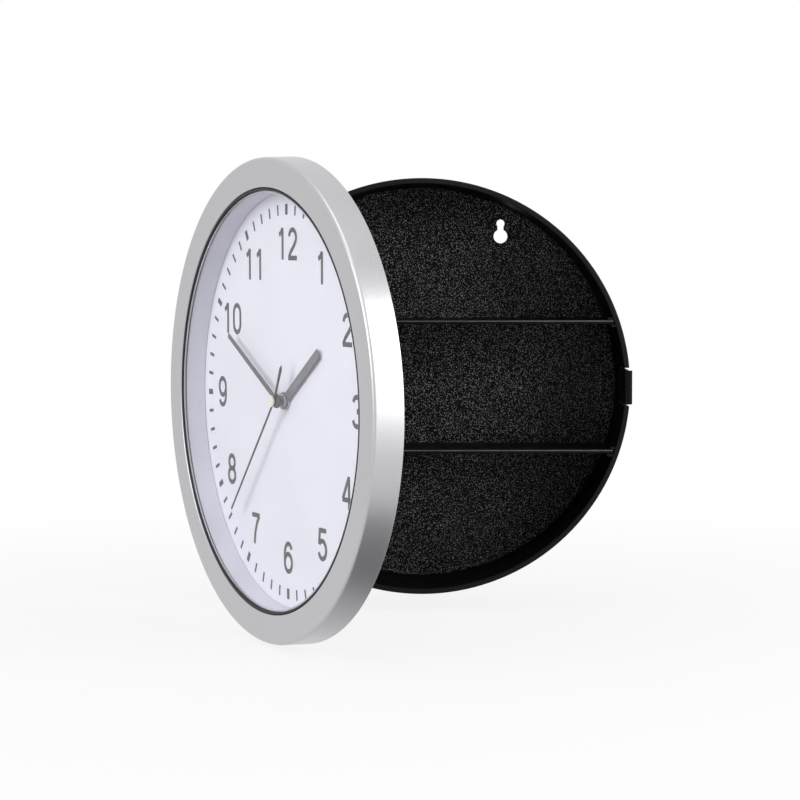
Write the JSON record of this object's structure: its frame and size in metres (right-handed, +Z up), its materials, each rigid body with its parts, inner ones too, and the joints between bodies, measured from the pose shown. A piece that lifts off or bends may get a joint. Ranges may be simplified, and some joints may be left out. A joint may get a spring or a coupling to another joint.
{
  "type": "clock diversion safe",
  "caption": "Round silver wall clock whose face swings open on a side hinge to show a shallow black box with shelves for valuables.",
  "frame": {"origin": "centre of the box's flat back face, where it lies against the wall", "axes": "+Z up, +Y into the wall, +X to the right as seen from the front; the clock looks along -Y when its lid is shut"},
  "size_m": [0.2628, 0.2763, 0.2552],
  "materials": {
    "box_plastic": "black moulded plastic with a fine pebble grain",
    "silver_plastic": "silver satin paint on moulded plastic",
    "pale_plastic": "pale grey plastic",
    "clear_glass": "clear flat glass with a ground edge",
    "black_rubber": "black rubber",
    "dial_sheet": "white printed sheet with grey figures and minute marks",
    "movement_plastic": "black moulded plastic",
    "gear_plastic": "white engineering plastic",
    "steel": "plated steel",
    "brass": "turned brass",
    "magnet": "dark sintered magnet",
    "copper_wire": "enamelled copper winding",
    "circuit": "green circuit board",
    "battery_skin": "plain printed sleeve on a metal can",
    "hand_metal": "grey painted metal",
    "needle_metal": "black painted metal",
    "cap_plastic": "cream plastic"
  },
  "bodies": {
    "box": {"back_box": "box_plastic", "upper_shelf": "box_plastic", "lower_shelf": "box_plastic", "hinge_pin": "steel"},
    "latch": {"latch_tongue": "box_plastic"},
    "lid": {"bezel": "silver_plastic", "lens_gasket": "black_rubber", "glass_lens": "clear_glass", "reflector_ring": "pale_plastic", "dial": "dial_sheet", "rear_cover": "box_plastic", "cover_screw_1": "steel", "cover_screw_2": "steel", "cover_screw_3": "steel", "cover_screw_4": "steel", "rubber_washer": "black_rubber", "movement_front": "movement_plastic", "movement_case": "movement_plastic", "mounting_bush": "brass", "bush_nut": "steel", "left_contact": "steel", "right_contact": "steel", "battery": "battery_skin", "stator": "steel", "coil": "copper_wire", "circuit_board": "circuit"},
    "hour_work": {"hour_wheel": "gear_plastic", "hour_hand": "hand_metal"},
    "minute_work": {"minute_wheel": "gear_plastic", "minute_hand": "hand_metal"},
    "second_work": {"second_wheel": "gear_plastic", "second_hand": "needle_metal", "second_hand_cap": "cap_plastic"},
    "setting_work": {"motion_wheel": "gear_plastic", "setting_knob": "gear_plastic"},
    "third_work": {"third_wheel": "gear_plastic"},
    "fifth_work": {"fifth_wheel": "gear_plastic"},
    "rotor_work": {"rotor": "magnet"}
  },
  "joints": [
    {"name": "lid_swing", "type": "hinge", "parent": "box", "child": "lid", "pos_m": [-0.1225, -0.047, 0], "axis": [0, 0, -1], "range_deg": [-61.7, 53.3]},
    {"name": "latch_flex", "type": "hinge", "parent": "box", "child": "latch", "pos_m": [0.1165, -0.032, 0], "axis": [0, 0, -1], "range_deg": [0, 3.5], "stiffness_Nm_per_rad": 1.5},
    {"name": "second_hand_turn", "type": "hinge", "parent": "lid", "child": "second_work", "pos_m": [-0.06883, -0.15723, 0], "axis": [0.8805, 0.4741, 0], "continuous": true},
    {"name": "minute_hand_turn", "type": "hinge", "parent": "lid", "child": "minute_work", "pos_m": [-0.06883, -0.15723, 0], "axis": [0.8805, 0.4741, 0], "continuous": true},
    {"name": "hour_hand_turn", "type": "hinge", "parent": "lid", "child": "hour_work", "pos_m": [-0.06883, -0.15723, 0], "axis": [0.8805, 0.4741, 0], "continuous": true},
    {"name": "setting_knob_turn", "type": "hinge", "parent": "lid", "child": "setting_work", "pos_m": [-0.06075, -0.16168, 0.00775], "axis": [0.8805, 0.4741, 0], "continuous": true},
    {"name": "third_wheel_turn", "type": "hinge", "parent": "lid", "child": "third_work", "pos_m": [-0.06684, -0.15038, 0.00882], "axis": [0.8805, 0.4741, 0], "continuous": true},
    {"name": "fifth_wheel_turn", "type": "hinge", "parent": "lid", "child": "fifth_work", "pos_m": [-0.06945, -0.14552, -0.00093], "axis": [0.8805, 0.4741, 0], "continuous": true},
    {"name": "rotor_turn", "type": "hinge", "parent": "lid", "child": "rotor_work", "pos_m": [-0.07213, -0.14055, 0.00579], "axis": [0.8805, 0.4741, 0], "continuous": true}
  ],
  "couplings": [
    {"joint": "minute_hand_turn", "follows": "second_hand_turn", "ratio": 0.016667},
    {"joint": "hour_hand_turn", "follows": "second_hand_turn", "ratio": 0.0013889},
    {"joint": "setting_knob_turn", "follows": "second_hand_turn", "ratio": -0.0055556},
    {"joint": "third_wheel_turn", "follows": "second_hand_turn", "ratio": -0.13333},
    {"joint": "fifth_wheel_turn", "follows": "second_hand_turn", "ratio": -5},
    {"joint": "rotor_turn", "follows": "second_hand_turn", "ratio": 30}
  ]
}
